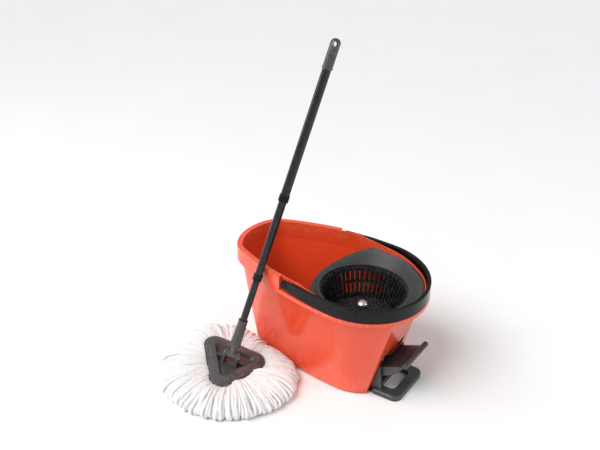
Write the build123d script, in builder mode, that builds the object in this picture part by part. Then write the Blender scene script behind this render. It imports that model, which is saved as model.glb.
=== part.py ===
"""Spin mop: an oval wringer bucket with a pedal-driven spin basket, and a telescopic triangle-head mop.

Millimetres. The origin is on the floor under the basket axis, +X towards the pedal, +Z up.
"""

import os
from math import acos, atan2, cos, degrees, exp, pi, radians, sin, tan

from build123d import *

# Bucket
rim_radius = 141.0  # wringer end of the rim, centred on the basket axis
nose_x = -305.0  # far end of the rim
nose_radius = 125.0
shoulder_radius = 60.0
side_radius = 650.0
rim_z = 255.0
shell_z = 4.0  # underside of the moulded shell
wall = 2.4
base_inset = 47.0  # how far the base outline lies inside the rim outline
skirt_inset = 10.5  # the same for the wall where the skirt starts
top_inset = 9.2
skirt_z = 215.0
step_x = -132.0  # where the deep skirt stops and the handle begins
lip_x = -78.0  # where the inner lip starts to drop
lip_low_x = 72.0
lip_low_z = 229.0
end_x = 60.0  # flat wringer end at floor level
end_slope = 0.25
end_top_z = 200.0

# Space under the raised floor for the drive
pocket_x = -44.0
pocket_half = 52.0
pocket_z = 90.0

# Carry handle
pivot_x = -118.0
pivot_z = 241.0
handle_thickness = 5.0
handle_height = 28.0
handle_gap = 0.6
rim_fall = 2.2  # degrees that handle and ledge fall towards the wringer end
pivot_radius = 4.0
fit = 0.06  # radial clearance of a running fit

# Spin basket
basket_radius = 94.0
basket_floor_radius = 72.0
basket_top_z = 210.0
basket_floor_z = 142.0
basket_wall = 2.4
slot_count = 52

# Gear train: the pedal's sector drives a cross shaft, whose crown gear drives the basket shaft
gear_z = 46.0
hinge_x = 58.0
spur_module = 2.0
sector_teeth = 48
pinion_teeth = 10
crown_module = 1.8
crown_teeth = 36
drive_teeth = 12
pressure_angle = radians(20)
shaft_radius = 5.0
axle_radius = 4.0

# Pedal
pedal_half = 47.0
bar_x = 135.0
bar_z = 92.0
bar_radius = 6.2
pedal_inner_x = 76.0
tread_z = 64.5  # height of the tread at its inner edge
tread_slope = (bar_z - 3.5 - tread_z) / (bar_x - 2 - pedal_inner_x)

# Mop: the pole leans on the bucket's rim
mop_pivot = Vector(-213, -185, 54)
rim_touch = Vector(-182.3, -126.9, 249)
plate_drop = 14.0  # from the yoke pin down to the plate's face
plate_roll = 12.9  # degrees that the yoke pin dips towards the wringer end
yoke_lean = 20.5  # degrees between the pole and the plate's normal
corner_radius = 27.0
corner_reach = 52.0
bumper_width = 4.0

# Fibre ring, plan radius round the plate's centre
fibre_reach = 160.0
fibre_dent = 43.0  # how much the ring is squashed where it faces the bucket
dent_bearing = 75.0
dent_width = 38.0

# Pole, lengths from the yoke pin
lower_radius = 7.5
middle_radius = 8.3
upper_radius = 9.3
tube_wall = 0.7
socket_start = 24.3
socket_end = 88.0
middle_start = 200.0
upper_start = 384.0
lower_end = 345.0
middle_end = 640.0
grip_start = 655.0
cap_start = 690.0
ring_length = 14.0

# Base
frame_screw_places = [(x, y) for x in (-8, 56) for y in (-34, 34)]
foot_places = [(-205, -32), (-205, 32)]
loop_x = 132.0
loop_height = 12.0

pole_dir = (rim_touch - mop_pivot).normalized()
pin_level = Vector(0.961, 0.279, 0)
pin_dir = (pin_level * cos(radians(plate_roll)) - Vector(0, 0, sin(radians(plate_roll))))
pin_dir = (pin_dir - pole_dir * pin_dir.dot(pole_dir)).normalized()
plate_normal = pole_dir.rotate(Axis((0, 0, 0), tuple(pin_dir)), yoke_lean)
pole_plane = Plane(origin=mop_pivot, x_dir=pin_dir, z_dir=pole_dir)
plate_plane = Plane(origin=mop_pivot - plate_normal * plate_drop, x_dir=pin_dir, z_dir=plate_normal)

os.makedirs("parts", exist_ok=True)


def save(piece, name):
    """Label a finished piece and write it to parts/."""
    piece.part.label = name
    export_step(piece.part, f"parts/{name}.step")


def facing(x, y, z, side):
    """Sketch plane at a point, facing +Y for side 1 and -Y for side -1."""
    return Plane(origin=(x, y, z), x_dir=(1, 0, 0), z_dir=(0, side, 0))


# ---------------------------------------------------------------- shared outlines

def crossing(first, first_radius, second, second_radius):
    """Left-hand crossing point of two circles, looking from the first centre to the second."""
    span = second - first
    along = (first_radius**2 - second_radius**2 + span.length**2) / (2 * span.length)
    out = (first_radius**2 - along**2) ** 0.5
    unit = span.normalized()
    return first + unit * along + Vector(-unit.Y, unit.X) * out


def bearing(start, end):
    """Direction from start to end in plan, in degrees."""
    return degrees(atan2(end.Y - start.Y, end.X - start.X))


nose_centre = Vector(nose_x + nose_radius, 0)
side_centre = Vector(0, side_radius - rim_radius)
shoulder_centre = crossing(
    nose_centre, nose_radius - shoulder_radius, side_centre, side_radius - shoulder_radius
)
side_bearing = bearing(side_centre, shoulder_centre)
nose_bearing = bearing(nose_centre, shoulder_centre)


def bucket_outline(inset):
    """Plan outline of the bucket, drawn in from the rim: tangent arcs round six centres."""
    with BuildLine() as outline:
        CenterArc((0, 0), rim_radius - inset, -90, 180)
        side = CenterArc(side_centre, side_radius - inset, side_bearing, -90 - side_bearing)
        shoulder = CenterArc(
            shoulder_centre, shoulder_radius - inset, nose_bearing, side_bearing - nose_bearing
        )
        mirror(side, about=Plane.XZ)
        mirror(shoulder, about=Plane.XZ)
        CenterArc(nose_centre, nose_radius - inset, -nose_bearing, 360 + 2 * nose_bearing)
    make_face(outline.edges())


def outline_solid(inset, low, high):
    """Upright prism of the bucket outline."""
    with BuildPart() as prism:
        with BuildSketch(Plane.XY.offset(low)):
            bucket_outline(inset)
        extrude(amount=high - low)
    return prism.part


def tapered_solid(extra, low):
    """The bucket's tapered body, drawn in all round by extra."""
    with BuildPart() as body:
        for z, inset in ((low, base_inset), (skirt_z, skirt_inset), (rim_z + 1, top_inset)):
            with BuildSketch(Plane.XY.offset(z)):
                bucket_outline(inset + extra)
        loft(ruled=True)
    return body.part


def side_cut(*points):
    """A side profile, as X and Z, run right across the bucket."""
    with BuildPart() as slab:
        with BuildSketch(Plane.XZ):
            with BuildLine():
                Polyline(*points, close=True)
            make_face()
        extrude(amount=200, both=True)
    return slab.part


def fall(x, z):
    """Height at x of a line that passes z at the handle's pivot and falls with the rim."""
    return z - tan(radians(rim_fall)) * (x - pivot_x)


def rim_band(low, high, x_from, x_to):
    """Region between two falling lines, seen from the side."""
    return side_cut(
        (x_from, fall(x_from, low)),
        (x_to, fall(x_to, low)),
        (x_to, fall(x_to, high)),
        (x_from, fall(x_from, high)),
    )


handle_top = pivot_z + 11.5
handle_low = handle_top - handle_height
ledge_z = handle_low - handle_gap
skirt_low = ledge_z - 9.0


# ---------------------------------------------------------------- bucket

def bucket_shell():
    """Moulded shell: tapered wall, hanging skirt, handle ledge, raised floor over the drive."""
    end_wall = end_x + end_slope * end_top_z
    outer = tapered_solid(0, shell_z)
    inner = tapered_solid(wall, shell_z + wall)
    alcove = side_cut((end_x, 0), (200, 0), (200, end_top_z), (end_wall, end_top_z))
    alcove_inner = side_cut(
        (end_x - wall, 0), (200, 0), (200, end_top_z + wall), (end_wall - wall, end_top_z + wall)
    )
    with BuildPart() as boss:
        with BuildSketch(Plane.XY.offset(shell_z)):
            with Locations((pocket_x + 70, 0)):
                RectangleRounded(144, 2 * (pocket_half + wall), 22)
        extrude(amount=pocket_z + wall - shell_z)
        with BuildSketch(Plane.XY.offset(pocket_z)):
            Circle(11)
        extrude(amount=14)
    with BuildPart() as pocket:
        with BuildSketch(Plane.XY.offset(shell_z - 1)):
            with Locations((pocket_x + 70 + 30, 0)):
                RectangleRounded(200, 2 * pocket_half, 20)
        extrude(amount=pocket_z - shell_z + 1)
    with BuildPart() as shell:
        # Skirt and ledge, hollow from below
        add(outline_solid(0, 190, rim_z))
        add(outline_solid(wall, 180, rim_z - wall) & side_cut(
            (-400, 180), (step_x - wall, 180), (step_x - wall, 260), (-400, 260)), mode=Mode.SUBTRACT)
        under_ledge = rim_band(150, ledge_z - wall, step_x - wall, 200)
        add(outline_solid(wall, 180, rim_z) & under_ledge, mode=Mode.SUBTRACT)
        add(rim_band(60, skirt_low, -400, 200), mode=Mode.SUBTRACT)
        add(rim_band(ledge_z, 300, step_x, 200), mode=Mode.SUBTRACT)
        # Wall, floor and drive pocket
        add(outer)
        add(side_cut((-400, rim_z), (200, rim_z), (200, 300), (-400, 300)), mode=Mode.SUBTRACT)
        add(alcove & outline_solid(-5, 0, end_top_z), mode=Mode.SUBTRACT)
        add((inner - alcove_inner) - boss.part, mode=Mode.SUBTRACT)
        add(pocket.part, mode=Mode.SUBTRACT)
        # Inner lip steps down inside the handle
        add(side_cut((lip_x, 300), (lip_x, 255), (lip_x + 8, 251), (lip_low_x, lip_low_z), (200, lip_low_z),
                     (200, 300)), mode=Mode.SUBTRACT)
        # Bearing boss in the raised floor
        with Locations((0, 0, pocket_z - 5)):
            Hole(radius=7.5, depth=40)
        # Handle pivot bosses
        for side in (-1, 1):
            with BuildSketch(facing(pivot_x, side * 118.6, pivot_z, side)):
                Circle(8)
            extrude(amount=5.2)
            with BuildSketch(facing(pivot_x, side * 121, pivot_z, side)):
                Circle(pivot_radius)
            extrude(amount=20, mode=Mode.SUBTRACT)
    save(shell, "bucket_shell")


def wringer_insert():
    """Dished funnel that drops into the wringer end round the basket."""
    top = 239.0
    seat = 208.0
    reach = wall + top_inset + 1.0
    with BuildPart() as insert:
        with BuildSketch(Plane.XY.offset(seat)):
            bucket_outline(reach + 4.5)
        with BuildSketch(Plane.XY.offset(top)):
            bucket_outline(reach)
        loft()
        # Free edge sweeps round the basket between two wings
        with BuildSketch(Plane.XY.offset(seat - 1)):
            with BuildLine():
                Spline((-20, -150), (-48, -124), (-74, -98), (-97, -52), (-106, 0), (-97, 52), (-74, 98),
                       (-48, 124), (-20, 150))
                Polyline((-20, 150), (-20, 200), (-400, 200), (-400, -200), (-20, -200), (-20, -150))
            make_face()
        extrude(amount=top - seat + 2, mode=Mode.SUBTRACT)
        # Outer edge falls with the bucket's lip
        add(side_cut((-200, 300), (-200, top - 0.5), (-46, top - 0.5), (lip_low_x - 6, lip_low_z - 2),
                     (200, lip_low_z - 2), (200, 300)), mode=Mode.SUBTRACT)
        # Dish, then the opening over the basket
        with BuildSketch(Plane.XY.offset(seat + 2.4)):
            Circle(basket_radius + 4)
        with BuildSketch(Plane.XY.offset(top + 1)):
            Circle(basket_radius + 47)
        loft(mode=Mode.SUBTRACT)
        with BuildSketch(Plane.XY.offset(seat - 1)):
            Circle(basket_radius + 1.6)
        extrude(amount=40, mode=Mode.SUBTRACT)
        # Turned-down collar that hides the basket's rim
        with BuildSketch(Plane.XY.offset(seat - 8)):
            Circle(basket_radius + 7)
            Circle(basket_radius + 5, mode=Mode.SUBTRACT)
        extrude(amount=9)
    save(insert, "wringer_insert")


def carry_handle():
    """U-shaped bow round the wringer end, with a round eye at each pivot."""
    tip = 10.5
    with BuildPart() as handle:
        add(outline_solid(0.3, 190, rim_z + 5))
        top_band = rim_band(handle_top - 2.6, 400, -100, 200)
        add(outline_solid(0.3 + handle_thickness, 180, rim_z + 6) - top_band, mode=Mode.SUBTRACT)
        add(outline_solid(8.0, 180, rim_z + 6), mode=Mode.SUBTRACT)
        add(side_cut((pivot_x, fall(pivot_x, handle_top) - 1), (-60, fall(-60, handle_top)),
                     (200, fall(200, handle_top)), (200, fall(200, handle_low)),
                     (-20, fall(-20, handle_low)), (pivot_x, pivot_z - tip)), mode=Mode.INTERSECT)
        for side in (-1, 1):
            with BuildSketch(facing(pivot_x, side * 124.3, pivot_z, side)):
                Circle(tip)
            extrude(amount=5.6)
            with BuildSketch(facing(pivot_x, side * 129.9, pivot_z, side)):
                Circle(7.2)
            extrude(amount=6, mode=Mode.SUBTRACT)
        with BuildSketch(Plane.XZ):
            with Locations((pivot_x, pivot_z)):
                Circle(pivot_radius + fit)
        extrude(amount=200, both=True, mode=Mode.SUBTRACT)
    save(handle, "carry_handle")


def handle_pins():
    """Headed pivot pins pressed into the bucket's bosses."""
    with BuildPart() as pins:
        for side in (-1, 1):
            with BuildSketch(facing(pivot_x, side * 121, pivot_z, side)):
                Circle(pivot_radius)
            extrude(amount=9.2)
            with BuildSketch(facing(pivot_x, side * 130.2, pivot_z, side)):
                Circle(6.5)
            extrude(amount=1.6, taper=30)
    save(pins, "handle_pins")


# ---------------------------------------------------------------- spin basket and its shaft

def basket_profile(radius, floor_radius, top, floor):
    """Half section of a tapered cup, for revolving."""
    with BuildLine() as cup:
        Polyline((0, floor), (floor_radius, floor), (radius, top), (0, top), close=True)
    make_face(cup.edges())


def spin_basket():
    """Ribbed cage with a slotted wall, a pierced floor and a hollow hub."""
    slot_pitch = 360 / slot_count
    with BuildPart() as basket:
        with BuildSketch(Plane.XZ):
            basket_profile(basket_radius + basket_wall, basket_floor_radius + basket_wall,
                           basket_top_z - 3.5, basket_floor_z - basket_wall)
        revolve(axis=Axis.Z)
        with BuildSketch(Plane.XZ):
            basket_profile(basket_radius, basket_floor_radius, basket_top_z, basket_floor_z)
        revolve(axis=Axis.Z, mode=Mode.SUBTRACT)
        # Rolled rim
        with BuildSketch(Plane.XY.offset(basket_top_z - 6.5)):
            Circle(basket_radius + 4.2)
            Circle(basket_radius - 0.4, mode=Mode.SUBTRACT)
        extrude(amount=3)
        # Drain slots in the wall, in two tiers
        for low, high in ((basket_floor_z + 8, 172), (177, 198)):
            middle = (low + high) / 2
            with BuildSketch(Plane.YZ.offset(60)):
                with Locations((0, middle)):
                    SlotOverall(high - low, 2.4, rotation=90)
            slot = extrude(amount=50, mode=Mode.PRIVATE)
            with PolarLocations(0, slot_count):
                add(slot, mode=Mode.SUBTRACT)
        # Inner ribs between the slots, ending in teeth at the rim
        with BuildSketch(Plane.XZ):
            with BuildLine():
                Polyline(
                    (basket_floor_radius - 3.4, basket_floor_z + 3),
                    (basket_floor_radius + 1.2, basket_floor_z + 3),
                    (basket_radius - 0.8, basket_top_z - 5),
                    (basket_radius - 5.4, basket_top_z - 5),
                    close=True,
                )
            make_face()
        rib = extrude(amount=1.4, both=True, mode=Mode.PRIVATE)
        with PolarLocations(0, slot_count, start_angle=slot_pitch / 2):
            add(rib)
        # Holes in the floor
        with BuildSketch(Plane.XY.offset(basket_floor_z - 5)):
            with PolarLocations(basket_floor_radius - 7, slot_count):
                Circle(2.2)
            with PolarLocations(basket_floor_radius - 22, 24):
                Circle(2.4)
            with PolarLocations(basket_floor_radius - 38, 16):
                Circle(2.6)
        extrude(amount=10, mode=Mode.SUBTRACT)
        # Hub
        with BuildSketch(Plane.XY.offset(basket_floor_z - basket_wall)):
            Circle(22)
        with BuildSketch(Plane.XY.offset(basket_floor_z + 20)):
            Circle(14.5)
        loft()
        with BuildSketch(Plane.XY.offset(basket_floor_z - 5)):
            Circle(12.5)
        extrude(amount=22, mode=Mode.SUBTRACT)
        with BuildSketch(Plane.XY.offset(basket_floor_z)):
            Circle(6.2)
        extrude(amount=40, mode=Mode.SUBTRACT)
    save(basket, "spin_basket")


def hub_dome():
    """Domed cap on the hub."""
    base = basket_floor_z + 20
    with BuildPart() as dome:
        with BuildSketch(Plane.XY.offset(base)):
            Circle(14.2)
            Circle(12.8, mode=Mode.SUBTRACT)
        extrude(amount=1)
        with BuildSketch(Plane.XY.offset(base + 1)):
            Circle(14.2)
        extrude(amount=2)
        with Locations((0, 0, base + 3)):
            Sphere(14.2, arc_size1=0, align=(Align.NONE, Align.NONE, Align.NONE))
    save(dome, "hub_dome")


def ring(name, inner, outer, low, high):
    """Plain ring round the basket shaft."""
    with BuildPart() as collar:
        with BuildSketch(Plane.XY.offset(low)):
            Circle(outer)
            Circle(inner, mode=Mode.SUBTRACT)
        extrude(amount=high - low)
    save(collar, name)


def clutch_rollers():
    """Rollers of the one-way clutch inside the hub."""
    roller = 1.75
    with BuildPart() as rollers:
        with BuildSketch(Plane.XY.offset(basket_floor_z + 2)):
            with PolarLocations(9.95 - roller, 8):
                Circle(roller)
        extrude(amount=12)
    save(rollers, "clutch_rollers")


def drive_shaft():
    """Stepped vertical shaft with the collar that carries the basket."""
    with BuildPart() as shaft:
        for radius, low, high in ((4, 60, 74.5), (shaft_radius, 74.5, 160), (10, 132, 136)):
            with BuildSketch(Plane.XY.offset(low)):
                Circle(radius)
            extrude(amount=high - low)
    save(shaft, "drive_shaft")


# ---------------------------------------------------------------- gears

def tooth_flank(module, teeth, radius, slack):
    """Half angle of an involute tooth at a radius."""
    pitch = module * teeth / 2
    roll = acos(min(1.0, pitch * cos(pressure_angle) / radius))
    grow = tan(pressure_angle) - pressure_angle - (tan(roll) - roll)
    return pi / 2 / teeth - slack / pitch + grow


def gear_teeth(module, teeth, tip, root, angles, slack=0.16):
    """Involute teeth at the given angles, as faces that reach a little below the root."""
    radii = [root - 1.5] + [root + (tip - root) * step / 4 for step in range(5)]
    for angle in angles:
        left = []
        right = []
        for radius in radii:
            half = tooth_flank(module, teeth, radius, slack)
            left.append((radius * cos(radians(angle) + half), radius * sin(radians(angle) + half)))
            right.append((radius * cos(radians(angle) - half), radius * sin(radians(angle) - half)))
        with BuildLine() as tooth:
            Polyline(*left, *reversed(right), close=True)
        make_face(tooth.edges())


def spur_pinion():
    """Small gear on the cross shaft."""
    pitch = spur_module * pinion_teeth / 2
    root = pitch - 1.15 * spur_module
    with BuildPart() as pinion:
        with BuildSketch(facing(0, -4, gear_z, -1)):
            Circle(root)
            gear_teeth(spur_module, pinion_teeth, pitch + 0.95 * spur_module, root,
                       [360 / pinion_teeth * k for k in range(pinion_teeth)])
            Circle(axle_radius, mode=Mode.SUBTRACT)
        extrude(amount=12)
    save(pinion, "spur_pinion")


def sector_gear():
    """Toothed sector on the pedal, with a lug that is screwed to the pedal's web."""
    pitch = spur_module * sector_teeth / 2
    step = 360 / sector_teeth
    root = pitch - 1.2 * spur_module
    with BuildPart() as sector:
        with BuildSketch(facing(hinge_x, -5, gear_z, -1)):
            with BuildLine():
                start = 172
                end = 232
                rim = CenterArc((0, 0), root, start, end - start)
                Line((0, 0), rim @ 0)
                Line((0, 0), rim @ 1)
            make_face()
            gear_teeth(spur_module, sector_teeth, pitch + 0.7 * spur_module, root,
                       [180 + step * (k - 0.5) for k in range(8)])
            Circle(9)
            with Locations((11, -5)):
                Rectangle(20, 9)
            Circle(axle_radius + fit, mode=Mode.SUBTRACT)
            with Locations((13, -5), (18.5, -5)):
                Circle(1.5, mode=Mode.SUBTRACT)
        extrude(amount=10)
        # Lightening hole
        with BuildSketch(facing(hinge_x, -5, gear_z, -1)):
            with Locations((-25, -10)):
                Circle(7)
        extrude(amount=10, mode=Mode.SUBTRACT)
    save(sector, "sector_gear")


def crown_gear():
    """Disc with face teeth that turn the vertical pinion."""
    pitch = crown_module * crown_teeth / 2
    mesh_y = crown_module * drive_teeth / 2
    root_y = mesh_y + 1.15 * crown_module
    tip_y = mesh_y - 0.85 * crown_module
    half = pi * crown_module / 4 - 0.30
    flare = tan(pressure_angle)
    with BuildPart() as crown:
        with BuildSketch(facing(0, root_y, gear_z, 1)):
            Circle(pitch + 3)
            Circle(axle_radius, mode=Mode.SUBTRACT)
        extrude(amount=4)
        with BuildSketch(Plane.XY.offset(gear_z + pitch - 2.4)):
            with BuildLine():
                Polyline(
                    (-half - (root_y + 0.5 - mesh_y) * flare, root_y + 0.5),
                    (-half + (mesh_y - tip_y) * flare, tip_y),
                    (half - (mesh_y - tip_y) * flare, tip_y),
                    (half + (root_y + 0.5 - mesh_y) * flare, root_y + 0.5),
                    close=True,
                )
            make_face()
        tooth = extrude(amount=5, mode=Mode.PRIVATE)
        middle = Axis((0, 0, gear_z), (0, 1, 0))
        for k in range(crown_teeth):
            add(tooth.rotate(middle, 360 / crown_teeth * (k + 0.5)))
        with BuildSketch(facing(0, root_y + 4, gear_z, 1)):
            Circle(9)
            Circle(axle_radius, mode=Mode.SUBTRACT)
        extrude(amount=2.2)
    save(crown, "crown_gear")


def drive_pinion():
    """Vertical pinion on the basket shaft."""
    pitch = crown_module * drive_teeth / 2
    root = pitch - 1.15 * crown_module
    with BuildPart() as pinion:
        with BuildSketch(Plane.XY.offset(74.5)):
            Circle(root)
            gear_teeth(crown_module, drive_teeth, pitch + 0.9 * crown_module, root,
                       [90 + 360 / drive_teeth * k for k in range(drive_teeth)])
            Circle(shaft_radius, mode=Mode.SUBTRACT)
        extrude(amount=8)
    save(pinion, "drive_pinion")


def rod(name, radius, start, end, head=0.0, head_length=0.0):
    """Round pin along Y at X, Z from start to end, with an optional head at its start."""
    x, z = start[0], start[2]
    with BuildPart() as pin:
        with BuildSketch(facing(x, start[1], z, 1)):
            Circle(radius)
        extrude(amount=end - start[1])
        if head:
            with BuildSketch(facing(x, start[1], z, -1)):
                Circle(head)
            extrude(amount=head_length)
    save(pin, name)


# ---------------------------------------------------------------- frame, base and pedal

def gear_frame():
    """Carrier with two cheeks for the cross shaft and pedal pin, and a bridge under the basket shaft."""
    with BuildPart() as frame:
        with BuildSketch(Plane.XZ):
            with BuildLine():
                Polyline((-16, shell_z), (63.4, shell_z), (63.4, 54), (50, 60), (12, 66.5), (-12, 66.5),
                         (-16, 60), close=True)
            make_face()
            with Locations((0, gear_z)):
                Circle(6.5, mode=Mode.SUBTRACT)
            with Locations((hinge_x, gear_z)):
                Circle(axle_radius, mode=Mode.SUBTRACT)
        cheek = extrude(amount=4, mode=Mode.PRIVATE)
        for y in (-20, 24):
            add(cheek.moved(Location((0, y, 0))))
        ties = ((-24, 8.6, 60.5, 66.5), (-40, -20, shell_z, 8), (20, 40, shell_z, 8))
        for y_from, y_to, low, high in ties:
            x_from, x_to = (-9, 9) if high > 60 else (-16, 63.4)
            with BuildSketch(Plane.XY.offset(low)):
                with Locations(((x_from + x_to) / 2, (y_from + y_to) / 2)):
                    Rectangle(x_to - x_from, y_to - y_from)
            extrude(amount=high - low)
        # Tie between the cheeks
        with BuildSketch(Plane.XY.offset(shell_z)):
            with Locations((59.4, 0)):
                Rectangle(8, 42)
        extrude(amount=4)
        with BuildSketch(Plane.XY.offset(60)):
            Circle(7)
        extrude(amount=10, mode=Mode.SUBTRACT)
        with BuildSketch(Plane.XY.offset(shell_z)):
            with Locations(*frame_screw_places):
                Circle(1.8)
        extrude(amount=10, mode=Mode.SUBTRACT)
    save(frame, "gear_frame")


def foot_frame():
    """Base plate under the drive, with the D-shaped floor loop that steadies the bucket."""
    with BuildPart() as loop:
        with BuildSketch():
            with Locations((76, -49.6), (76, 49.6)):
                Circle(12)
            with Locations((loop_x - 17, -44), (loop_x - 17, 44)):
                Circle(17)
            make_hull()
        extrude(amount=loop_height)
        chamfer(loop.faces().sort_by(Axis.Z)[-1].edges(), 2)
    with BuildPart() as foot:
        add(loop.part)
        with BuildSketch():
            with Locations((8, 0)):
                RectangleRounded(128, 2 * (pocket_half + 8), 12)
        extrude(amount=shell_z)
        with BuildSketch():
            with Locations((94.5, 0)):
                RectangleRounded(33, 76, 12)
        extrude(amount=loop_height, mode=Mode.SUBTRACT)
        # Side gussets against the bucket's flat end
        with BuildSketch(Plane.XZ):
            with BuildLine():
                Polyline((64.2, loop_height), (88, loop_height), (81.5, 70), (78.7, 70), close=True)
            make_face()
        gusset = extrude(amount=5, mode=Mode.PRIVATE)
        for y in (-49.5, 54.5):
            add(gusset.moved(Location((0, y, 0))))
        with BuildSketch():
            with Locations(*frame_screw_places):
                Circle(1.8)
        extrude(amount=shell_z, mode=Mode.SUBTRACT)
        with BuildSketch():
            with Locations(*frame_screw_places):
                Circle(3.8)
        extrude(amount=2.2, mode=Mode.SUBTRACT)
    save(foot, "foot_frame")


def frame_screws():
    """Screws that hold the base plate and gear frame together."""
    with BuildPart() as screws:
        with BuildSketch(Plane.XY.offset(0.3)):
            with Locations(*frame_screw_places):
                Circle(3.6)
        extrude(amount=1.9)
        with BuildSketch(Plane.XY.offset(2.2)):
            with Locations(*frame_screw_places):
                Circle(1.75)
        extrude(amount=7)
    save(screws, "frame_screws")


def rubber_feet():
    """Round feet under the far end of the bucket."""
    with BuildPart() as feet:
        with BuildSketch():
            with Locations(*foot_places):
                Circle(10)
        extrude(amount=shell_z)
    save(feet, "rubber_feet")


def pedal():
    """Foot pedal: sloping tread with side skirts, a round bar along its edge and a neck to the hinge."""
    tread_outer = tread_z + tread_slope * (bar_x - pedal_inner_x)
    skirt_x = bar_x - 6
    skirt_z_end = tread_z - 6 + tread_slope * (skirt_x - pedal_inner_x)
    with BuildPart() as lever:
        with BuildSketch(Plane.XZ):
            with BuildLine():
                Polyline((pedal_inner_x, tread_z), (bar_x, tread_outer), (bar_x, tread_outer - 4),
                         (pedal_inner_x, tread_z - 4), close=True)
            make_face()
        extrude(amount=pedal_half, both=True)
        # Side skirts, deep at the hinge end
        with BuildSketch(Plane.XZ):
            with BuildLine():
                Polyline((skirt_x, skirt_z_end), (skirt_x, 86), (pedal_inner_x, tread_z - 1), (81, 44))
                ThreePointArc((81, 44), (104, 55), (skirt_x, skirt_z_end))
            make_face()
        skirt = extrude(amount=3, mode=Mode.PRIVATE)
        for y in (-pedal_half + 3, pedal_half):
            add(skirt.moved(Location((0, y, 0))))
        # Bar
        with BuildSketch(Plane.XZ):
            with Locations((bar_x, bar_z)):
                Circle(bar_radius)
        extrude(amount=pedal_half + 4, both=True)
        fillet(lever.edges().filter_by(GeomType.CIRCLE).group_by(Axis.Y)[0], 2.5)
        fillet(lever.edges().filter_by(GeomType.CIRCLE).group_by(Axis.Y)[-1], 2.5)
        # Hinge webs beside the sector gear
        with BuildSketch(Plane.XZ):
            with BuildLine():
                Polyline((54, 38), (74, 36.5), (82, 44), (96, 68), (78, 62.5), (66, 57), (54, 54),
                         close=True)
            make_face()
        web = extrude(amount=4, mode=Mode.PRIVATE)
        for y in (-15.2, -0.8, 9):
            add(web.moved(Location((0, y, 0))))
        for y_from, y_to in ((-19.2, -15.2), (-4.8, 9)):
            with BuildSketch(facing(hinge_x, y_from, gear_z, 1)):
                Circle(9)
            extrude(amount=y_to - y_from)
        with BuildSketch(Plane.XZ):
            with Locations((hinge_x, gear_z)):
                Circle(axle_radius + fit)
        extrude(amount=40, both=True, mode=Mode.SUBTRACT)
        # Pilot holes for the sector gear's screws
        with BuildSketch(Plane.XZ):
            with Locations((hinge_x + 13, gear_z - 5), (hinge_x + 18.5, gear_z - 5)):
                Circle(1.5)
        extrude(amount=20, both=True, mode=Mode.SUBTRACT)
    save(lever, "pedal")


def pedal_tread():
    """Soft ribbed pad on the pedal's sloping face."""
    face = Plane(origin=(pedal_inner_x, 0, tread_z), x_dir=(1, 0, tread_slope), z_dir=(-tread_slope, 0, 1))
    with BuildPart() as tread:
        with BuildSketch(face):
            with Locations((29, 0)):
                RectangleRounded(42, 2 * pedal_half - 12, 5)
        extrude(amount=1.2)
        with BuildSketch(face.offset(1.2)):
            with Locations(*[(29 + 7 * (k - 2), 0) for k in range(5)]):
                SlotOverall(2 * pedal_half - 24, 2.4, rotation=90)
        extrude(amount=0.8)
    save(tread, "pedal_tread")


def sector_screws():
    """Screws through the sector gear's lug into the pedal's web."""
    with BuildPart() as screws:
        for x in (hinge_x + 13, hinge_x + 18.5):
            with BuildSketch(facing(x, -18.8, gear_z - 5, 1)):
                Circle(1.5)
            extrude(amount=17.6)
    save(screws, "sector_screws")


def return_spring():
    """Coil on the hinge pin that lifts the pedal again."""
    with BuildLine() as wire:
        Helix(pitch=2.2, height=6.6, radius=6.3, center=(hinge_x, 11.2, gear_z), direction=(0, 1, 0))
    with BuildPart() as spring:
        with BuildSketch(Plane(origin=wire.line @ 0, z_dir=wire.line % 0)):
            Circle(0.9)
        sweep(path=wire.line, is_frenet=True)
    save(spring, "return_spring")


# ---------------------------------------------------------------- mop head

def triangle(radius, reach=corner_reach):
    """Rounded triangle with its flat side towards the bucket."""
    with BuildSketch(mode=Mode.PRIVATE) as corners:
        with PolarLocations(reach, 3, start_angle=30):
            Circle(radius)
        make_hull()
    add(corners.sketch)


def mop_plate():
    """Triangular plate: sloping rim, sunk middle and two lugs for the yoke pin."""
    with BuildPart() as plate:
        with BuildSketch(plate_plane.offset(-9)):
            triangle(corner_radius - bumper_width)
        extrude(amount=5)
        with BuildSketch(plate_plane.offset(-5.2)):
            triangle(corner_radius - 1.8)
        extrude(amount=1.2)
        with BuildSketch(plate_plane.offset(-4)):
            triangle(corner_radius - 1.8)
        with BuildSketch(plate_plane.offset(1)):
            triangle(corner_radius - 14)
        loft()
        with BuildSketch(plate_plane.offset(-6.5)):
            triangle(5, 38)
        with BuildSketch(plate_plane.offset(1.1)):
            triangle(8, 44)
        loft(mode=Mode.SUBTRACT)
        # Lugs and the bars that brace them
        for x in (-17, 13):
            foot = plate_plane.from_local_coords(Vector(x, 0, 0))
            with BuildSketch(Plane(origin=foot, x_dir=plate_plane.y_dir, z_dir=plate_plane.x_dir)):
                with BuildLine():
                    Polyline((-13, -6), (-7.4, plate_drop), (7.4, plate_drop), (13, -6), close=True)
                make_face()
                with Locations((0, plate_drop)):
                    Circle(7.6)
                    Circle(3, mode=Mode.SUBTRACT)
            extrude(amount=4)
        for x in (-25, 25):
            with BuildSketch(plate_plane.offset(-6)):
                with Locations((x, 0)):
                    Rectangle(17, 5)
            extrude(amount=8.5)
    save(plate, "mop_plate")


def plate_bumper():
    """Soft black edging round the plate."""
    with BuildPart() as bumper:
        with BuildSketch(plate_plane.offset(-9)):
            triangle(corner_radius)
        extrude(amount=3.8)
        with BuildSketch(plate_plane.offset(-9)):
            triangle(corner_radius - bumper_width)
        extrude(amount=3.8, mode=Mode.SUBTRACT)
    save(bumper, "plate_bumper")


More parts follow.
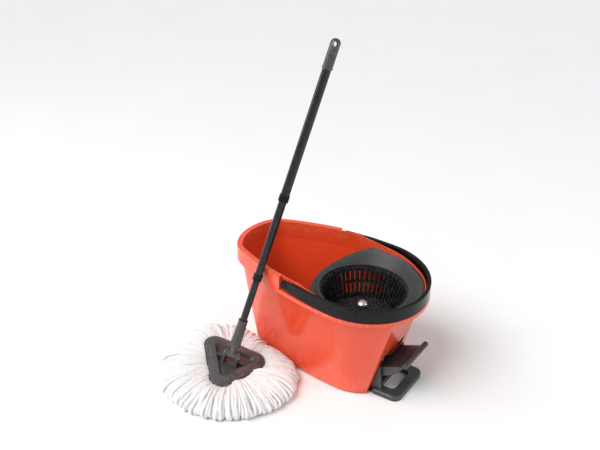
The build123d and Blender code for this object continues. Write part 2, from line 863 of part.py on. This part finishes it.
def pin_across(name, radius, reach, head):
    """Pin along the yoke axis, with a head at each end."""
    with BuildPart() as pin:
        with BuildSketch(Plane(origin=mop_pivot - pin_dir * reach, z_dir=pin_dir)):
            Circle(radius)
        extrude(amount=2 * reach)
        for start in (-reach, reach - 1.5):
            with BuildSketch(Plane(origin=mop_pivot + pin_dir * start, z_dir=pin_dir)):
                Circle(head)
            extrude(amount=1.5)
    save(pin, name)


def refill_ring():
    """Plastic ring of the refill, clipped under the plate."""
    with BuildPart() as backing:
        with BuildSketch(plate_plane.offset(-13)):
            triangle(corner_radius - 3)
            triangle(corner_radius - 16, corner_reach - 4)
        extrude(amount=4)
        with BuildSketch(plate_plane.offset(-13)):
            triangle(8, 38)
        extrude(amount=4, mode=Mode.SUBTRACT)
    save(backing, "refill_ring")


def fibre_radius(angle):
    """Plan radius of the fibre ring round the plate's centre."""
    off = (angle - dent_bearing + 180) % 360 - 180
    return fibre_reach - fibre_dent * exp(-((off / dent_width) ** 2))


def fibre_section(scale, extra=0.0):
    """Closed outline of the fibre ring, scaled about the plate's centre."""
    points = []
    for angle in range(0, 360, 15):
        radius = scale * fibre_radius(angle) + extra
        points.append((radius * cos(radians(angle)), radius * sin(radians(angle))))
    with BuildLine() as loop:
        Spline(*points, periodic=True)
    make_face(loop.edges())


def fibre_ring():
    """Draped mound of fibres: a plain solid of the ring's outer shape round the plate."""
    centre = plate_plane.origin
    tilt = Vector(plate_normal.X / 2, plate_normal.Y / 2, plate_normal.Z).normalized()
    with BuildPart() as mound:
        for height, normal, scale, extra in (
            (0, Vector(0, 0, 1), 0.95, 0), (15, Vector(0, 0, 1), 1.0, 0), (33, tilt, 0.88, 0),
            (39, plate_normal, 0.25, 48),
        ):
            with BuildSketch(Plane(origin=(centre.X, centre.Y, height), x_dir=(1, 0, 0), z_dir=normal)):
                fibre_section(scale, extra)
        loft(ruled=True)
        with BuildSketch(plate_plane.offset(-9)):
            triangle(corner_radius + 0.3)
        extrude(amount=60, mode=Mode.SUBTRACT)
        with BuildSketch(plate_plane.offset(-13)):
            triangle(corner_radius - 3)
        extrude(amount=5, mode=Mode.SUBTRACT)
    save(mound, "fibre_ring")


# ---------------------------------------------------------------- yoke and pole

def on_pole(height):
    """Sketch plane across the pole, height above the yoke pin."""
    return pole_plane.offset(height)


def sleeve(outer, inner, low, high):
    """Add a round tube along the pole to the open part."""
    with BuildPart() as barrel:
        with BuildSketch(on_pole(low)):
            Circle(outer)
            if inner:
                Circle(inner, mode=Mode.SUBTRACT)
        extrude(amount=high - low)
    add(barrel.part)


def yoke():
    """Hinge block that tilts on the plate pin and carries the swivel spigot."""
    with BuildPart() as block:
        with BuildSketch(Plane(origin=mop_pivot - pin_dir * 12.6, z_dir=pin_dir)):
            Circle(7.5)
        extrude(amount=25.2)
        sleeve(7, 0, 0, 24)
        sleeve(5, 0, 24, 45)
        sleeve(6.2, 0, 43, 45)
        with BuildSketch(Plane(origin=mop_pivot - pin_dir * 20, z_dir=pin_dir)):
            Circle(3 + fit)
        extrude(amount=40, mode=Mode.SUBTRACT)
    save(block, "yoke")


def swivel_socket():
    """Faceted socket that turns on the yoke's spigot and holds the lower tube."""
    with BuildPart() as socket:
        with BuildSketch(on_pole(socket_start)):
            RegularPolygon(12.2, 8)
        with BuildSketch(on_pole(84)):
            RegularPolygon(10.2, 8)
        loft()
        sleeve(10.3, 0, 84, socket_end)
        for radius, low, high in ((5 + fit, 24, 42), (6.5, 42, 49), (lower_radius, 49, socket_end + 1)):
            with BuildSketch(on_pole(low)):
                Circle(radius)
            extrude(amount=high - low, mode=Mode.SUBTRACT)
    save(socket, "swivel_socket")


def pole_tube(name, outer, inner, low, high):
    """One length of tube."""
    with BuildPart() as tube:
        sleeve(outer, inner, low, high)
    save(tube, name)


def lock_ring(name, outer, inner, low, high):
    """Twist ring with finger flutes that locks two tubes."""
    with BuildPart() as twist:
        sleeve(outer, inner, low, high)
        with BuildSketch(on_pole(low + 2)):
            with PolarLocations(outer + 0.9, 12):
                Circle(1.6)
        extrude(amount=high - low - 4, mode=Mode.SUBTRACT)
    save(twist, name)


def expander(name, outer, inner, top):
    """Plug at a tube's end that the twist lock spreads."""
    with BuildPart() as plug:
        sleeve(inner, 0, top - 12, top)
        sleeve(outer, 0, top, top + 14)
        with BuildSketch(on_pole(top + 4)):
            Rectangle(1.2, 30)
        extrude(amount=12, mode=Mode.SUBTRACT)
    save(plug, name)


def hand_grip():
    """Ribbed grip sleeve with a lip at its lower end."""
    with BuildPart() as grip:
        sleeve(10.4, upper_radius, grip_start, cap_start)
        sleeve(11.2, upper_radius, grip_start, grip_start + 3)
        with BuildSketch(on_pole(grip_start + 7)):
            with PolarLocations(10.9, 16):
                Circle(0.9)
        extrude(amount=22, mode=Mode.SUBTRACT)
    save(grip, "hand_grip")


def hang_cap():
    """Rounded end cap with a hanging hole."""
    with BuildPart() as cap:
        sleeve(middle_radius + 2 * fit, 0, cap_start - 14, cap_start)
        sleeve(10.4, 0, cap_start, cap_start + 16)
        with Locations(on_pole(cap_start + 16).location):
            Sphere(10.4, arc_size1=0, align=(Align.NONE, Align.NONE, Align.NONE))
        with BuildSketch(Plane(origin=pole_plane.from_local_coords(Vector(0, -20, cap_start + 15)),
                               x_dir=pole_plane.x_dir, z_dir=pole_plane.y_dir)):
            SlotOverall(11, 8, rotation=90)
        extrude(amount=40, mode=Mode.SUBTRACT)
    save(cap, "hang_cap")


# ---------------------------------------------------------------- make everything

bucket_shell()
wringer_insert()
carry_handle()
handle_pins()

spin_basket()
hub_dome()
clutch_rollers()
ring("clutch_ring", 9.95, 12.5, basket_floor_z + 1, basket_floor_z + 16)
ring("clutch_sleeve", shaft_radius, 6.4, basket_floor_z - 1, basket_floor_z + 16)
ring("thrust_washer", 7.5, 13.0, 136.0, 139.3)
ring("upper_bush", shaft_radius + fit, 7.5, pocket_z - 3, pocket_z + 9)
ring("shaft_seal", shaft_radius + fit, 7.5, pocket_z + 9, pocket_z + 14)
ring("lower_bush", 4 + fit, 7.0, 60.5, 66.5)
drive_shaft()

spur_pinion()
sector_gear()
crown_gear()
drive_pinion()
rod("cross_axle", axle_radius, (0, -23.5, gear_z), 23.5)
rod("pedal_pin", axle_radius, (hinge_x, -24, gear_z), 26, head=6.5, head_length=2.0)
with BuildPart() as axle_bushes:
    for y in (-24, 20):
        with BuildSketch(facing(0, y, gear_z, 1)):
            Circle(6.5)
            Circle(axle_radius + fit, mode=Mode.SUBTRACT)
        extrude(amount=4)
save(axle_bushes, "axle_bushes")

gear_frame()
foot_frame()
frame_screws()
rubber_feet()
pedal()
pedal_tread()
sector_screws()
return_spring()

mop_plate()
plate_bumper()
pin_across("plate_pin", 3.0, 18.5, 4.5)
refill_ring()
fibre_ring()
yoke()
swivel_socket()
pole_tube("lower_tube", lower_radius, lower_radius - tube_wall, 49, lower_end)
lock_ring("lower_lock_ring", 9.9, lower_radius + fit, middle_start - ring_length, middle_start)
pole_tube("middle_tube", middle_radius, lower_radius + 2 * fit, middle_start, middle_end)
expander("lower_expander", lower_radius, lower_radius - tube_wall, lower_end)
lock_ring("upper_lock_ring", 10.8, middle_radius + fit, upper_start - ring_length, upper_start)
pole_tube("upper_tube", upper_radius, middle_radius + 2 * fit, upper_start, cap_start)
expander("upper_expander", middle_radius, lower_radius + 2 * fit, middle_end)
hand_grip()
hang_cap()
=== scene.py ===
"""Looks of the spin mop: bucket, wringer, pedal and a mop whose yarns are built strand by strand."""
import math
import random

import bpy
from mathutils import Matrix, Vector, noise


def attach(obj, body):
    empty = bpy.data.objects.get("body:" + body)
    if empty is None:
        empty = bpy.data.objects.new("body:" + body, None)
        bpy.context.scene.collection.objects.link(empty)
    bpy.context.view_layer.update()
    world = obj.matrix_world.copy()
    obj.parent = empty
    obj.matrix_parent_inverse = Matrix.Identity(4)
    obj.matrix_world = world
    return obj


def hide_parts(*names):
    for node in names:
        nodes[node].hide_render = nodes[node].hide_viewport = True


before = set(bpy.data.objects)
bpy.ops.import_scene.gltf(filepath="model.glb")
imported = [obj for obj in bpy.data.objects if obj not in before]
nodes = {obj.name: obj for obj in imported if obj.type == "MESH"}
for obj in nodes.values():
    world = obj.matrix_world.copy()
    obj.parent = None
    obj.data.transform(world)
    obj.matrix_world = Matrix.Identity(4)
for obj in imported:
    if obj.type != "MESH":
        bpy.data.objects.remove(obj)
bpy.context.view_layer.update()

# Mop head, as in the CAD frame
mop_pivot = Vector((-0.213, -0.185, 0.054))
plate_normal = Vector((0.252003, -0.057871, 0.965994))
pin_dir = Vector((0.935409, 0.27038, -0.227826))
plate_drop = 0.014
plate_centre = mop_pivot - plate_normal * plate_drop
plate_across = plate_normal.cross(pin_dir)
plate_reach = 0.052
plate_corner = 0.027

# Fibre ring
fibre_reach = 0.157
fibre_dent = 0.042
dent_bearing = math.radians(75)
dent_width = math.radians(38)
edge_height = 0.017  # of the ring's widest point
crown_height = 0.040  # of the yarns where they come over the plate's edge, at least
floor_gap = 0.0055
turn_under = 0.72  # share of a yarn's length at which it reaches the outer edge
yarn_steps = 46
twist_pitch = 0.021


# ---------------------------------------------------------------- shader helpers

class Shader:
    """A node material with a Principled shader, and short ways to add procedural detail to it."""

    def __init__(self, name):
        self.material = bpy.data.materials.new(name)
        self.material.use_nodes = True
        self.tree = self.material.node_tree
        self.shader = self.tree.nodes["Principled BSDF"]
        self.place = self.tree.nodes.new("ShaderNodeTexCoord").outputs["Object"]
        self.height = None

    def node(self, kind, **settings):
        made = self.tree.nodes.new(kind)
        for key, value in settings.items():
            setattr(made, key, value)
        return made

    def link(self, start, end):
        self.tree.links.new(start, end)

    def noise(self, scale, detail=3.0, rough=0.5, stretch=(1, 1, 1), turn=(0, 0, 0)):
        """Noise from 0 to 1, with features about 1/scale metres across."""
        mapping = self.node("ShaderNodeMapping")
        mapping.inputs["Scale"].default_value = stretch
        mapping.inputs["Rotation"].default_value = turn
        self.link(self.place, mapping.inputs["Vector"])
        field = self.node("ShaderNodeTexNoise")
        field.inputs["Scale"].default_value = scale
        field.inputs["Detail"].default_value = detail
        field.inputs["Roughness"].default_value = rough
        self.link(mapping.outputs[0], field.inputs["Vector"])
        return field.outputs["Fac"]

    def ramp(self, value, low, high, low_at=0.35, high_at=0.65):
        """Value remapped to run from low to high."""
        spread = self.node("ShaderNodeMapRange")
        spread.inputs["From Min"].default_value = low_at
        spread.inputs["From Max"].default_value = high_at
        spread.inputs["To Min"].default_value = low
        spread.inputs["To Max"].default_value = high
        self.link(value, spread.inputs["Value"])
        return spread.outputs["Result"]

    def mix(self, factor, first, second, blend="MIX"):
        """Mix of two colours, each a tuple or a socket."""
        mixer = self.node("ShaderNodeMix", data_type="RGBA", blend_type=blend)
        self.link(factor, mixer.inputs["Factor"])
        for value, socket in ((first, mixer.inputs[6]), (second, mixer.inputs[7])):
            if isinstance(value, tuple):
                socket.default_value = (*value, 1.0)
            else:
                self.link(value, socket)
        return mixer.outputs[2]

    def add(self, first, second, weight=1.0):
        """first + second * weight."""
        total = self.node("ShaderNodeMath", operation="MULTIPLY_ADD")
        self.link(second, total.inputs[0])
        total.inputs[1].default_value = weight
        self.link(first, total.inputs[2])
        return total.outputs[0]

    def edges(self, low=0.505, high=0.54):
        """1 on sharp outside edges, 0 on flats."""
        geometry = self.node("ShaderNodeNewGeometry")
        return self.ramp(geometry.outputs["Pointiness"], 0.0, 1.0, low, high)

    def colour(self, socket):
        self.link(socket, self.shader.inputs["Base Color"])

    def roughness(self, socket):
        self.link(socket, self.shader.inputs["Roughness"])

    def bump(self, height, distance, strength=1.0):
        """Bump over any bump already there."""
        bump = self.node("ShaderNodeBump")
        bump.inputs["Strength"].default_value = strength
        bump.inputs["Distance"].default_value = distance
        self.link(height, bump.inputs["Height"])
        if self.height:
            self.link(self.height, bump.inputs["Normal"])
        self.height = bump.outputs["Normal"]
        self.link(self.height, self.shader.inputs["Normal"])


def plastic(name, base, dark, pale, rough, spread=0.025, coat=0.0, gloss=0.5, grain=0.0, wave=0.0,
            rounding=0.0005):
    """Moulded plastic: soft clouds of colour, faint handling marks, rounded and lightly scuffed edges."""
    s = Shader(name)
    cloud = s.ramp(s.noise(7, 3), 0.0, 1.0)
    body = s.mix(cloud, dark, base)
    marks = s.noise(38, 6, 0.7, stretch=(1, 1, 6), turn=(0.4, 0.3, 0.2))
    marked = s.ramp(marks, 0.0, 1.0, 0.60, 0.80)
    worn = s.node("ShaderNodeMath", operation="MULTIPLY")
    s.link(s.edges(), worn.inputs[0])
    s.link(s.ramp(s.noise(140, 4), 0.0, 0.35), worn.inputs[1])
    s.colour(s.mix(worn.outputs[0], body, pale))
    smudge = s.ramp(s.noise(9, 2), rough - spread, rough + spread)
    s.roughness(s.add(smudge, marked, 0.05))
    s.shader.inputs["Specular IOR Level"].default_value = gloss
    s.shader.inputs["Coat Weight"].default_value = coat
    s.shader.inputs["Coat Roughness"].default_value = 0.05
    edge = s.node("ShaderNodeBevel", samples=4)
    edge.inputs["Radius"].default_value = rounding
    s.height = edge.outputs["Normal"]
    if wave:
        s.bump(s.noise(11, 1), wave, 0.5)
    if grain:
        s.bump(s.noise(650, 2), grain, 0.6)
    s.bump(marks, 0.000006, 0.5)
    return s.material


def metal(name, base, rough, stretch=(1, 1, 30)):
    """Turned or drawn steel with fine lines."""
    s = Shader(name)
    lines = s.noise(260, 3, 0.6, stretch=stretch)
    cloud = s.ramp(s.noise(30, 4), 0.0, 1.0)
    dull = tuple(c * 0.72 for c in base)
    s.colour(s.mix(cloud, base, s.mix(lines, dull, base)))
    s.shader.inputs["Metallic"].default_value = 1.0
    s.roughness(s.add(s.ramp(lines, rough - 0.05, rough + 0.1), cloud, 0.05))
    s.bump(lines, 0.00002, 0.4)
    return s.material


def rubber(name):
    """Black rubber with a fine matt grain."""
    s = Shader(name)
    s.colour(s.mix(s.ramp(s.noise(60, 5), 0.0, 1.0), (0.018, 0.018, 0.019), (0.045, 0.044, 0.043)))
    s.roughness(s.ramp(s.noise(200, 3), 0.55, 0.8))
    s.bump(s.noise(700, 3), 0.0001, 0.7)
    return s.material


def yarn_fabric(name):
    """Looped white microfibre: bright, soft and slightly sheeny, with painted shade in the hollows between
    tufts.
    """
    s = Shader(name)
    tuft = s.noise(420, 5, 0.7)
    patch = s.ramp(s.noise(25, 3), 0.0, 1.0)
    fibre_white = s.mix(patch, (0.90, 0.902, 0.905), (0.93, 0.93, 0.93))
    # Painted shade: the grey (0.76, 0.77, 0.79) darkens the hollows between tufts, where the tuft bump is
    # low.
    s.colour(s.mix(s.ramp(tuft, 1.0, 0.0, 0.25, 0.5), fibre_white, (0.76, 0.77, 0.79)))
    s.roughness(s.ramp(tuft, 0.82, 1.0))
    s.shader.inputs["Sheen Weight"].default_value = 0.35
    s.shader.inputs["Sheen Roughness"].default_value = 0.5
    s.shader.inputs["Subsurface Weight"].default_value = 0.25
    s.shader.inputs["Subsurface Radius"].default_value = (0.004, 0.004, 0.004)
    s.shader.inputs["Subsurface Scale"].default_value = 1.0
    s.bump(tuft, 0.0012, 0.9)
    return s.material


def floor_material():
    """Pale studio floor."""
    s = Shader("studio_floor")
    s.colour(s.mix(s.noise(3, 3), (0.93, 0.93, 0.93), (0.96, 0.96, 0.96)))
    s.roughness(s.ramp(s.noise(6, 3), 0.7, 0.85))
    return s.material


# ---------------------------------------------------------------- materials on the CAD nodes

red = plastic("bucket_red", (0.87, 0.080, 0.024), (0.83, 0.072, 0.021), (0.93, 0.22, 0.12), 0.22, coat=0.3,
              wave=0.0005, rounding=0.0009)
dark = plastic("dark_plastic", (0.044, 0.045, 0.047), (0.038, 0.039, 0.041), (0.12, 0.12, 0.12), 0.36,
               grain=0.00005)
black = plastic("black_plastic", (0.004, 0.0042, 0.0044), (0.003, 0.003, 0.0032), (0.02, 0.021, 0.021),
                0.14, gloss=0.22, rounding=0.0012)
basket_black = plastic("basket_plastic", (0.010, 0.010, 0.011), (0.008, 0.008, 0.009), (0.09, 0.09, 0.09),
                       0.2, gloss=0.4)
plate_grey = plastic("plate_grey", (0.070, 0.072, 0.074), (0.062, 0.064, 0.066), (0.19, 0.19, 0.19), 0.2,
                     coat=0.2)
cap_grey = plastic("cap_grey", (0.060, 0.061, 0.064), (0.052, 0.053, 0.056), (0.16, 0.16, 0.16), 0.28)
nylon = plastic("pale_nylon", (0.78, 0.78, 0.75), (0.72, 0.72, 0.69), (0.9, 0.9, 0.88), 0.45)
pole_grey = plastic("pole_grey", (0.007, 0.0073, 0.008), (0.006, 0.0062, 0.0068), (0.05, 0.05, 0.05), 0.2,
                    gloss=0.4)
steel = metal("plain_steel", (0.56, 0.56, 0.57), 0.28)
chrome = metal("polished_steel", (0.82, 0.82, 0.83), 0.12, stretch=(1, 1, 1))
black_rubber = rubber("seal_rubber")

looks = {
    red: ["bucket_shell"],
    dark: ["wringer_insert", "gear_frame", "foot_frame", "pedal", "pedal_tread"],
    black: ["carry_handle", "handle_pins", "lower_lock_ring", "upper_lock_ring"],
    basket_black: ["spin_basket"],
    chrome: ["hub_dome"],
    steel: ["clutch_ring", "clutch_sleeve", "clutch_rollers", "drive_shaft", "cross_axle", "pedal_pin",
            "frame_screws", "sector_screws", "return_spring", "plate_pin"],
    nylon: ["thrust_washer", "upper_bush", "lower_bush", "spur_pinion", "crown_gear", "sector_gear",
            "drive_pinion", "axle_bushes", "refill_ring", "lower_expander", "upper_expander"],
    black_rubber: ["shaft_seal", "rubber_feet", "plate_bumper"],
    plate_grey: ["mop_plate", "yoke"],
    pole_grey: ["lower_tube", "middle_tube", "upper_tube"],
    cap_grey: ["hang_cap", "hand_grip", "swivel_socket"],
}

for material, names in looks.items():
    for name in names:
        nodes[name].data.materials.clear()
        nodes[name].data.materials.append(material)


# ---------------------------------------------------------------- mop yarns

def plate_edge(angle):
    """Plan distance from the plate's centre to its rounded triangular edge."""
    reach = 0.0
    for corner in (30, 150, 270):
        turn = math.radians(corner)
        centre = (pin_dir * math.cos(turn) + plate_across * math.sin(turn)) * plate_reach
        along = centre.x * math.cos(angle) + centre.y * math.sin(angle)
        off = -centre.x * math.sin(angle) + centre.y * math.cos(angle)
        if abs(off) < plate_corner:
            reach = max(reach, along + math.sqrt(plate_corner**2 - off**2))
    return max(reach, plate_reach * 0.5 + plate_corner)


def plate_height(radius, angle, local):
    """World height of the plate's plane, offset by local, above a plan point."""
    x = radius * math.cos(angle)
    y = radius * math.sin(angle)
    return plate_centre.z + (local - plate_normal.x * x - plate_normal.y * y) / plate_normal.z


def ring_reach(angle):
    """Outer radius of the fibre ring, squashed where it faces the bucket."""
    off = (angle - dent_bearing + math.pi) % (2 * math.pi) - math.pi
    return fibre_reach - fibre_dent * math.exp(-((off / dent_width) ** 2))


def bezier(p0, p1, p2, p3, t):
    u = 1 - t
    weights = (u**3, 3 * u * u * t, 3 * u * t * t, t**3)
    return tuple(sum(w * p for w, p in zip(weights, axis)) for axis in zip(p0, p1, p2, p3))


def ring_profile(angle, t, sink=0.0, scale=1.0):
    """Radius and height of the ring at t: plate edge at 0, outer edge at turn_under, tucked under at 1."""
    edge = plate_edge(angle)
    outer = ring_reach(angle) * scale
    top = plate_height(edge, angle, -0.006)
    hump = max(top + 0.006, crown_height)
    if t < turn_under:
        radius, height = bezier((edge - 0.004, top - 0.004), (edge + 0.012, hump + 0.005),
                                (outer - 0.012, hump), (outer, edge_height), t / turn_under)
    else:
        radius, height = bezier((outer, edge_height), (outer, floor_gap + 0.003),
                                (outer - 0.008, floor_gap), (outer - 0.026, floor_gap),
                                (t - turn_under) / (1 - turn_under))
    return radius - sink * 0.5, max(height - sink, floor_gap - 0.0005)


def strand_path(rng, angle, sink, scale, start, end):
    """Centre line of one yarn, wandering a little sideways as it drapes."""
    seed = rng.uniform(0, 500)
    sway = rng.uniform(-0.05, 0.05)
    points = []
    for k in range(yarn_steps + 1):
        t = start + (end - start) * k / yarn_steps
        wander = noise.noise(Vector((t * 2.6, seed, 0.3))) * 0.085 * t + sway * t * t
        bearing = angle + wander
        radius, height = ring_profile(bearing, t, sink, scale)
        lift = noise.noise(Vector((t * 5.5, seed, 7.7))) * 0.0022 * min(1.0, t * 3)
        points.append(Vector((
            plate_centre.x + (radius + lift) * math.cos(bearing),
            plate_centre.y + (radius + lift) * math.sin(bearing),
            max(height + lift, floor_gap),
        )))
    return points


def add_yarn(vertices, faces, points, thickness, rng, sides=10):
    """Adds a soft three-ply yarn along the points."""
    first = len(vertices)
    phase = rng.uniform(0, 2 * math.pi)
    normal = Vector((0, 0, 1))
    travelled = 0.0
    for k, point in enumerate(points):
        ahead = points[min(k + 1, len(points) - 1)] - points[max(k - 1, 0)]
        forward = ahead.normalized()
        normal = (normal - forward * normal.dot(forward)).normalized()
        across = forward.cross(normal)
        if k:
            travelled += (point - points[k - 1]).length
        along = k / (len(points) - 1)
        swell = 0.72 + 0.34 * min(1.0, along * 2.2)
        if k in (0, len(points) - 1):
            swell *= 0.35
        for side in range(sides):
            turn = 2 * math.pi * side / sides
            ply = 0.10 * math.cos(3 * turn + phase + travelled * 2 * math.pi / twist_pitch)
            tuft = 0.34 * noise.noise(point * 520 + Vector((math.cos(turn), math.sin(turn), phase)))
            radius = thickness * swell * (1 + ply + tuft)
            vertices.append(point + (normal * math.cos(turn) + across * math.sin(turn)) * radius)
        if k:
            for side in range(sides):
                a = first + (k - 1) * sides + side
                b = first + (k - 1) * sides + (side + 1) % sides
                faces.append((a, b, b + sides, a + sides))
    faces.append(tuple(first + side for side in reversed(range(sides))))
    last = first + (len(points) - 1) * sides
    faces.append(tuple(last + side for side in range(sides)))


def mesh_object(name, vertices, faces, material):
    mesh = bpy.data.meshes.new(name)
    mesh.from_pydata(vertices, [], faces)
    mesh.materials.append(material)
    mesh.polygons.foreach_set("use_smooth", [True] * len(mesh.polygons))
    made = bpy.data.objects.new(name, mesh)
    bpy.context.scene.collection.objects.link(made)
    return made


def yarn_layer(name, count, thickness, sink, scale, start, end, seed, material):
    """One layer of yarns all round the head."""
    rng = random.Random(seed)
    vertices = []
    faces = []
    for k in range(count):
        angle = 2 * math.pi * (k + rng.uniform(-0.35, 0.35)) / count
        reach = scale * rng.uniform(0.955, 1.02)
        points = strand_path(rng, angle, sink + rng.uniform(-0.0012, 0.0012), reach, start, end)
        add_yarn(vertices, faces, points, thickness * rng.uniform(0.9, 1.12), rng)
    return mesh_object(name, vertices, faces, material)


def ring_core(material):
    """Dense fibre body under the loose yarns."""
    around = 120
    steps = 22
    vertices = []
    faces = []
    for k in range(around):
        angle = 2 * math.pi * k / around
        for j in range(steps + 1):
            t = 0.10 + 0.90 * j / steps
            radius, height = ring_profile(angle, t, 0.006, 0.95)
            radius = radius if j < steps else 0.045  # flat underside, back in under the plate
            across = radius * math.cos(angle)
            along = radius * math.sin(angle)
            lump = noise.noise(Vector((across, along, height)) * 60)
            vertices.append(Vector((
                plate_centre.x + across,
                plate_centre.y + along,
                height + 0.0012 * lump,
            )))
    rows = steps + 1
    for k in range(around):
        for j in range(rows):
            here = k * rows
            beside = ((k + 1) % around) * rows
            above = (j + 1) % rows
            faces.append((here + j, beside + j, beside + above, here + above))
    return mesh_object("fibre_core", vertices, faces, material)


fibre = yarn_fabric("mop_fibre")
yarns = [
    yarn_layer("yarns_top", 146, 0.0034, 0.0026, 1.0, 0.0, 0.93, 5, fibre),
    yarn_layer("yarns_middle", 150, 0.0035, 0.0052, 0.99, 0.04, 0.96, 11, fibre),
    yarn_layer("yarns_low", 150, 0.0036, 0.0080, 0.975, 0.12, 1.0, 17, fibre),
    ring_core(fibre),
]
for piece in yarns:
    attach(piece, "mop_head")
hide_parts("fibre_ring")


# ---------------------------------------------------------------- studio

def area_light(name, place, target, size, energy):
    lamp = bpy.data.lights.new(name, "AREA")
    lamp.shape = "RECTANGLE"
    lamp.size = size[0]
    lamp.size_y = size[1]
    lamp.energy = energy
    holder = bpy.data.objects.new(name, lamp)
    holder.location = place
    holder.rotation_euler = (Vector(target) - Vector(place)).to_track_quat("-Z", "Y").to_euler()
    bpy.context.scene.collection.objects.link(holder)


floor_mesh = bpy.data.meshes.new("studio_floor")
half = 40.0
corners = [(-half, -half, 0), (half, -half, 0), (half, half, 0), (-half, half, 0)]
floor_mesh.from_pydata(corners, [], [(0, 1, 2, 3)])
floor_mesh.materials.append(floor_material())
floor = bpy.data.objects.new("studio_floor", floor_mesh)
bpy.context.scene.collection.objects.link(floor)

world = bpy.data.worlds.new("studio")
world.use_nodes = True
world.node_tree.nodes["Background"].inputs["Color"].default_value = (1.0, 1.0, 1.0, 1)
world.node_tree.nodes["Background"].inputs["Strength"].default_value = 0.42
bpy.context.scene.world = world

bpy.context.scene.view_settings.view_transform = "Standard"  # plain colours, as in a catalogue picture

sun = bpy.data.lights.new("sky", "SUN")
sun.energy = 1.95
sun.angle = math.radians(38)
sky = bpy.data.objects.new("sky", sun)
sky.rotation_euler = Vector((-0.34, -0.70, 1.0)).to_track_quat("Z", "Y").to_euler()
bpy.context.scene.collection.objects.link(sky)

middle = (-0.08, -0.05, 0.2)
area_light("key", (-1.5, -0.9, 1.3), middle, (0.7, 1.6), 12)
area_light("strip", (1.6, 0.5, 0.9), middle, (0.3, 1.6), 7)


# ---------------------------------------------------------------- camera

place = Vector((0.7398, -1.4351, 1.2640))
heading = math.radians(32)
pitch = math.radians(29)
roll = math.radians(2)
back = Vector((math.sin(heading) * math.cos(pitch), -math.cos(heading) * math.cos(pitch), math.sin(pitch)))
level = Vector((math.cos(heading), math.sin(heading), 0))
above = back.cross(level)
right = level * math.cos(roll) + above * math.sin(roll)
up = above * math.cos(roll) - level * math.sin(roll)
lens = bpy.data.cameras.new("camera")
lens.lens = 54
lens.sensor_width = 36
lens.shift_x = -0.006
lens.shift_y = -0.009
camera = bpy.data.objects.new("camera", lens)
camera.matrix_world = Matrix((
    (right.x, up.x, back.x, place.x),
    (right.y, up.y, back.y, place.y),
    (right.z, up.z, back.z, place.z),
    (0, 0, 0, 1),
))
bpy.context.scene.collection.objects.link(camera)
bpy.context.scene.camera = camera
